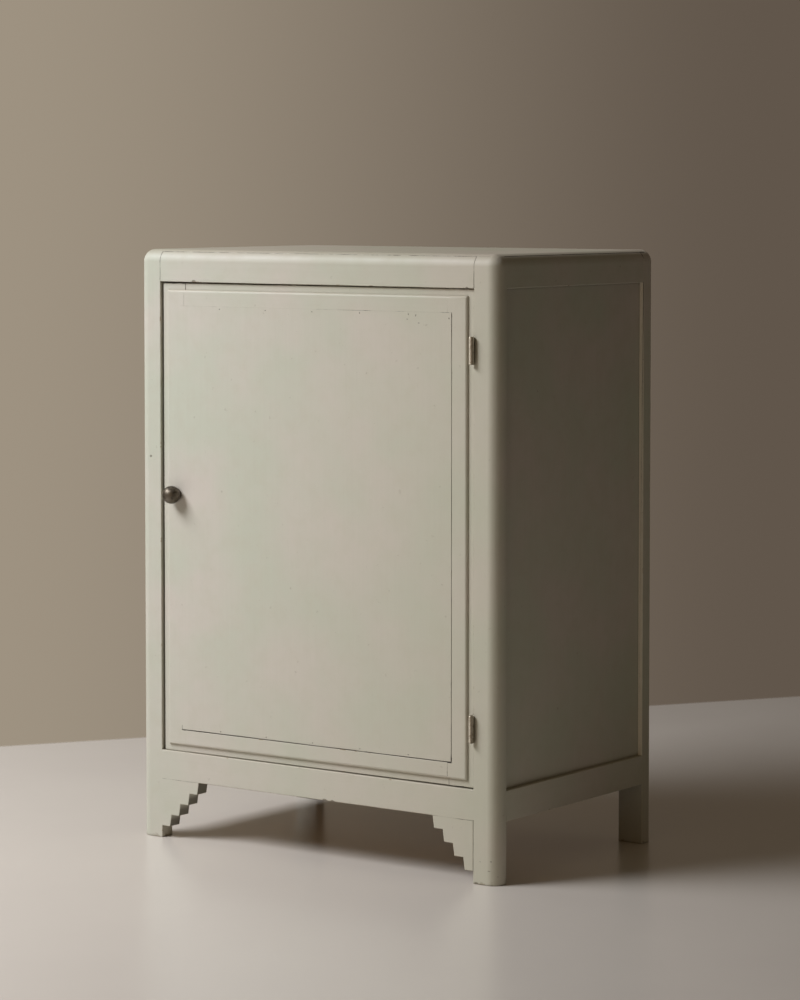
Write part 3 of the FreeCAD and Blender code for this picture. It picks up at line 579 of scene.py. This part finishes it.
def eased_piece(node, arris, joint, materials, slot):
    """A CAD piece with its sharp edges rubbed round by hand: free arrises by a width that wavers along each
    edge, and the edges that meet another piece only as far as the joint has opened."""
    body = BODY_OF[node]
    neighbours = []
    if node in BOXES:
        neighbours = [box for other, box in BOXES.items() if other != node and BODY_OF[other] == body]
    shape = solid_copy(node)
    rubbed = shape.edges.layers.float.new("bevel_weight_edge")
    widest = WIDEST * arris
    sharp = []
    for edge in shape.edges:
        edge.smooth = True
        if len(edge.link_faces) == 2 and edge.calc_face_angle() > SHARP:
            if edge.is_convex and edge.calc_length() > SHORTEST_EDGE * MM:
                sharp.append(edge)
            else:
                edge.smooth = False
    for edge in sharp:
        start, end = (v.co.copy() for v in edge.verts)
        length = (end - start).length
        cuts = set()
        for low, high in neighbours:
            for corner in (low, high):
                for i in range(3):
                    run = end[i] - start[i]
                    if abs(run) > LENGTHWISE * length:
                        cuts.add((corner[i] - start[i]) / run)
        steps = int(length / (STRETCH * MM))
        cuts.update((k + draw.uniform(*STRETCH_SPREAD)) / steps for k in range(steps))
        margin = STRETCH_MARGIN * MM / length
        places = []
        for cut in sorted(cuts):
            if margin < cut < 1 - margin and (not places or cut - places[-1] > margin):
                places.append(cut)
        for part in split_edge(edge, places):
            middle = (part.verts[0].co + part.verts[1].co) / 2
            if touching(middle, neighbours, EDGE_REACH * MM):
                uneven = draw.uniform(*JOINT_WAVER) if steps else 1.0
                part[rubbed] = joint * opening(body, middle) * uneven / widest
                part.smooth = part[rubbed] > 0
            else:
                part[rubbed] = arris * draw.uniform(*ARRIS_WAVER) / widest
    mesh = bpy.data.meshes.new(node + "_edges")
    shape.to_mesh(mesh)
    shape.free()
    for material in materials:
        mesh.materials.append(material)
    mesh.polygons.foreach_set("use_smooth", [True] * len(mesh.polygons))
    mesh.polygons.foreach_set("material_index", [0] * len(mesh.polygons))
    piece = new_piece("eased_" + node, mesh, body, [node])
    rounding = piece.modifiers.new("rubbed_edges", "BEVEL")
    rounding.limit_method = "WEIGHT"
    rounding.offset_type = "OFFSET"
    rounding.width = widest * MM
    rounding.segments = 3
    rounding.use_clamp_overlap = False
    rounding.material = ARRIS
    view = bpy.context.evaluated_depsgraph_get()
    rounded = bpy.data.meshes.new_from_object(piece.evaluated_get(view))
    rounded.name = "eased_" + node
    opened = rounded.attributes.new("opened", "FLOAT", "FACE")
    for face in rounded.polygons:
        if face.material_index == ARRIS and touching(face.center, neighbours, FACE_REACH * MM):
            face.material_index = JOINT
            opened.data[face.index].value = opening(body, face.center)
    if any(node in nodes for nodes in DOOR_WOOD.values()):
        for vertex in rounded.vertices:
            vertex.co.z += SAG * vertex.co.x + COATS * (vertex.co.z - DOOR_MIDDLE)
    piece.modifiers.clear()
    piece.data = rounded
    bpy.data.meshes.remove(mesh)
    flats = piece.modifiers.new("flat_faces", "WEIGHTED_NORMAL")
    flats.keep_sharp = True
    flats.weight = 80


def ring_faces(shape, rings):
    """Joins rings of as many vertices each into a skin."""
    for first, second in zip(rings, rings[1:]):
        for i in range(len(first)):
            j = (i + 1) % len(first)
            shape.faces.new((first[i], first[j], second[j], second[i]))


def cast_knob(material):
    """The ball knob: cast and filed by hand, so not quite true, with a flat back that it turns on."""
    segments = 64
    shape = bmesh.new()
    centre = Vector((KNOB_X, FRONT - KNOB_STANDOFF, KNOB_Z))
    back = math.acos((KNOB_STANDOFF - KNOB_BACK) / KNOB_RADIUS)
    rows = 40
    rings = []
    for row in range(1, rows + 1):
        polar = math.pi - (math.pi - back) * row / rows
        ring = []
        for i in range(segments):
            turn = 2 * math.pi * i / segments
            away = Vector(
                (math.sin(polar) * math.cos(turn), math.cos(polar), math.sin(polar) * math.sin(turn))
            )
            hollow = 0.22 * (1 + noise.noise(away * 1.7))
            file_mark = 0.1 * (1 + noise.noise(away * 4.5 + centre))
            radius = KNOB_RADIUS - 0.5 * (hollow + file_mark)
            ring.append(shape.verts.new((centre + away * radius) * MM))
        rings.append(ring)
    ring_faces(shape, rings)
    shape.faces.new(rings[0])
    shape.faces.new(rings[-1])
    bmesh.ops.recalc_face_normals(shape, faces=shape.faces)
    mesh = bpy.data.meshes.new("cast_knob")
    shape.to_mesh(mesh)
    shape.free()
    mesh.polygons.foreach_set("use_smooth", [len(face.vertices) == 4 for face in mesh.polygons])
    mesh.materials.append(material)
    new_piece("cast_knob", mesh, "latch", ["knob"])


def slotted_screws(node, places, radius, length, material):
    """Countersunk screws with a slot sawn across each head, each stopped at a chance angle. A place is the
    middle of the head's face and the way the screw points along X."""
    head = 2 * radius
    half_slot = 0.28 * radius
    depth = 0.55 * radius
    point = 0.35 * radius
    corner = math.asin(half_slot / head)
    steps = 12
    half_turn = [corner + (math.pi - 2 * corner) * k / steps for k in range(steps + 1)]
    shape = bmesh.new()
    for x, y, z, way in places:
        stopped = draw.uniform(0, math.pi)

        def at(turn, out, down):
            spot = (x + way * down, y + out * math.cos(turn + stopped), z + out * math.sin(turn + stopped))
            return shape.verts.new(Vector(spot) * MM)

        rim = []
        floor = []
        for turned in (0.0, math.pi):
            floor.append(at(turned - corner, head - depth, depth))
            floor.append(at(turned + corner, head - depth, depth))
            arc = [at(turned + turn, head, 0.0) for turn in half_turn]
            shape.faces.new(arc)
            rim += floor[-2:] + arc
        shape.faces.new(floor)
        per_half = steps + 3
        for k in (0, per_half):
            arc = rim[k + 2 : k + per_half]
            far = rim[(k + per_half) % len(rim)]
            shape.faces.new((arc[0], arc[-1], far, rim[k + 1]))
        turns = []
        for turned in (0.0, math.pi):
            turns += [turned - corner, turned + corner] + [turned + turn for turn in half_turn]
        neck = [at(turn, radius, radius) for turn in turns]
        tip = [at(turn, point, length) for turn in turns]
        ring_faces(shape, [rim, neck, tip])
        shape.faces.new(tip)
    bmesh.ops.remove_doubles(shape, verts=shape.verts, dist=0.0005 * MM)
    bmesh.ops.recalc_face_normals(shape, faces=shape.faces)
    mesh = bpy.data.meshes.new("slotted_" + node)
    shape.to_mesh(mesh)
    shape.free()
    mesh.materials.append(material)
    new_piece("slotted_" + node, mesh, BODY_OF[node], [node])


def paint_set(along, body):
    """The paint of one body on wood that runs one way, for each surface of a piece."""
    return [
        eggshell_paint(f"eggshell_paint_{body}_{GRAIN[along]}_{surface}", along, body, surface)
        for surface in SURFACES
    ]


for axis, nodes in CARCASS_WOOD.items():
    coats = paint_set(axis, "carcass")
    for node in nodes:
        eased_piece(node, *CARCASS_EDGES, coats, "painted_wood")
    if axis == "Z":
        for node in CARCASS_PANELS:
            eased_piece(node, *SIDE_PANEL_EDGES, coats, "painted_wood")
for axis, nodes in DOOR_WOOD.items():
    coats = paint_set(axis, "door")
    for node in nodes:
        eased_piece(node, *DOOR_EDGES, coats, "painted_wood")
for axis, nodes in BARE_WOOD.items():
    boards = bare_pine(f"bare_pine_{GRAIN[axis]}", axis)
    for node in nodes:
        eased_piece(node, *BOARD_EDGES, [boards, boards, boards], "bare_pine")
sheet = rotary_plywood("rotary_birch_plywood")
eased_piece("back_panel", *SHEET_EDGES, [sheet, sheet, sheet], "plywood")

bronze = worn_metal(
    "bronze_darkened",
    clean="#6a6358",
    tarnish="#413b33",
    share=0.5,
    rough_low=0.4,
    rough_high=0.52,
)
hinge_steel = worn_metal(
    "pressed_steel_tarnished",
    clean="#b7b0a2",
    tarnish="#8a806e",
    share=0.45,
    rough_low=0.34,
    rough_high=0.46,
    spread=0.9,
)
rubbed_steel = worn_metal(
    "pressed_steel_rubbed_bright",
    clean="#b9b3a6",
    tarnish="#857c6c",
    share=0.3,
    rough_low=0.36,
    rough_high=0.46,
    spread=0.9,
)
screw_steel = worn_metal(
    "steel_wire_dull",
    clean="#98938a",
    tarnish="#6d5f4d",
    share=0.35,
    rough_low=0.35,
    rough_high=0.55,
)
cast_knob(bronze)
for place in ("lower", "upper"):
    for part in ("frame_leaf", "door_leaf"):
        steels = [hinge_steel, rubbed_steel, hinge_steel]
        eased_piece(f"{place}_hinge_{part}", *LEAF_EDGES, steels, "aged_hinge_steel")
for node in ("latch_tongue", "spindle_nut"):
    eased_piece(node, *LATCH_EDGES, [screw_steel, rubbed_steel, screw_steel], "plain_steel")
heights = [height + side * HINGE_SCREW_RISE for height in HINGE_HEIGHTS for side in (-1, 1)]
for node, x, way in (("hinge_frame_screws", FRAME_SCREW_X, 1), ("hinge_door_screws", DOOR_SCREW_X, -1)):
    places = [(x, FRONT + HINGE_SCREW_DEPTH, z, way) for z in heights]
    slotted_screws(node, places, HINGE_SCREW_RADIUS, HINGE_SCREW_LENGTH, screw_steel)
places = [
    (side * BATTEN_SCREW_X, FRONT + depth, z, side)
    for side in (-1, 1)
    for depth in BATTEN_SCREW_DEPTHS
    for z in BATTEN_SCREW_HEIGHTS
]
slotted_screws("batten_screws", places, BATTEN_SCREW_RADIUS, BATTEN_SCREW_LENGTH, screw_steel)
CAD_METAL = {
    "knob_rosette": bronze,
    "lower_hinge_pin": hinge_steel,
    "upper_hinge_pin": hinge_steel,
    "back_panel_nails": screw_steel,
    "door_panel_pins": screw_steel,
    "knob_spindle": screw_steel,
    "latch_spacer": screw_steel,
}
for node, metal in CAD_METAL.items():
    frame["nodes"][node].data.materials.clear()
    frame["nodes"][node].data.materials.append(metal)


# Floor, light and camera


def studio_floor():
    """A plain pale floor. It ends behind the part in a straight line, and fades out farther off elsewhere."""
    shape = bmesh.new()
    bmesh.ops.create_circle(shape, cap_ends=True, segments=96, radius=3.2)
    mesh = bpy.data.meshes.new("studio_floor")
    shape.to_mesh(mesh)
    shape.free()
    floor = bpy.data.objects.new("studio_floor", mesh)
    bpy.context.scene.collection.objects.link(floor)
    material, tree, place = blank("sealed_pale_floor")
    worn = add(tree, "TexNoise", {"Vector": place, "Scale": 1 / 300, "Detail": 4.0})
    tone = add(tree, "Mix", {0: worn, 6: linear("#cdc5bc"), 7: linear("#d3ccc2")}, 2, data_type="RGBA")
    paint = add(tree, "BsdfPrincipled", {"Base Color": tone, "Roughness": 0.25})
    away = add(tree, "VectorMath", {0: place}, "Value", operation="LENGTH")
    faded = add(tree, "MapRange", {0: away, 1: 2000.0, 2: 3100.0}, interpolation_type="SMOOTHSTEP")
    backwards = (-0.843, 0.538, 0.0)
    behind = add(tree, "VectorMath", {0: place, 1: backwards}, "Value", operation="DOT_PRODUCT")
    ended = add(tree, "MapRange", {0: behind, 1: 1085.0, 2: 1105.0})
    faded = add(tree, "Math", {0: faded, 1: ended}, operation="MAXIMUM")
    clear = add(tree, "BsdfTransparent")
    shader = add(tree, "MixShader", {0: faded, 1: paint, 2: clear})
    add(tree, "OutputMaterial", {"Surface": shader})
    mesh.materials.append(material)


def soft_box(name, at, aim, width, height, power, colour):
    """A rectangular soft light at a place, turned towards another, in metres."""
    lamp = bpy.data.lights.new(name, "AREA")
    lamp.shape = "RECTANGLE"
    lamp.size = width
    lamp.size_y = height
    lamp.energy = power
    lamp.color = linear(colour)[:3]
    light = bpy.data.objects.new(name, lamp)
    light.location = at
    light.rotation_euler = (Vector(aim) - Vector(at)).to_track_quat("-Z", "Y").to_euler()
    bpy.context.scene.collection.objects.link(light)


def surroundings():
    """A warm grey backdrop for the camera and for reflections, lighter on the side of the light, and a dim
    warm fill from above for everything else."""
    world = bpy.data.worlds.new("studio")
    world.use_nodes = True
    tree = world.node_tree
    tree.nodes.clear()
    towards = add(tree, "TexCoord", out="Generated")
    rightwards = (0.808, 0.59, 0.0)
    sideways = add(tree, "VectorMath", {0: towards, 1: rightwards}, "Value", operation="DOT_PRODUCT")
    dimmer = add(tree, "MapRange", {0: sideways, 1: -0.14, 2: 0.115}, interpolation_type="SMOOTHSTEP")
    wall = add(tree, "Mix", {0: dimmer, 6: linear("#9f9382"), 7: linear("#61564b")}, 2, data_type="RGBA")
    seen = add(tree, "LightPath", out="Is Camera Ray")
    path = seen.node.outputs
    glossy = path["Is Glossy Ray"]
    mirrored = add(tree, "Math", {0: glossy, 1: path["Is Transmission Ray"]}, operation="MAXIMUM")
    shown = add(tree, "Math", {0: seen, 1: mirrored}, operation="MAXIMUM")
    backdrop = add(tree, "Background", {"Color": wall, "Strength": 1.0})
    upward = add(tree, "SeparateXYZ", {0: towards}, "Z")
    glow = add(tree, "MapRange", {0: upward, 1: 0.0, 2: 1.0, 3: 0.005, 4: 0.112})
    fill = add(tree, "Background", {"Color": linear("#ffe8c6"), "Strength": glow})
    mixed = add(tree, "MixShader", {0: shown, 1: fill, 2: backdrop})
    add(tree, "OutputWorld", {"Surface": mixed})
    bpy.context.scene.world = world


def photo_camera():
    """The view of the photograph, from the front right and a little over the top."""
    degrees_down = 3.371
    degrees_turned = 36.134
    lens = bpy.data.cameras.new("camera")
    lens.sensor_width = 36.0
    lens.lens = 120.42
    lens.shift_y = -0.12
    lens.clip_end = 50.0
    camera = bpy.data.objects.new("camera", lens)
    camera.location = (3.1621, -4.2996, 1.0559)
    camera.rotation_euler = (math.radians(90 - degrees_down), 0.0, math.radians(degrees_turned))
    bpy.context.scene.collection.objects.link(camera)
    bpy.context.scene.camera = camera


studio_floor()
soft_box(
    "overhead_light",
    at=(-1.95, -2.4, 3.1),
    aim=(-2.95, -2.2, 0.0),
    width=2.4,
    height=2.4,
    power=304.0,
    colour="#f7f9ff",
)
soft_box(
    "front_fill",
    at=(1.5, -4.2, 1.5),
    aim=(0.0, 0.0, 0.5),
    width=3.0,
    height=2.4,
    power=6.6,
    colour="#ffd9a0",
)
surroundings()
photo_camera()
bpy.context.scene.view_settings.view_transform = "Standard"
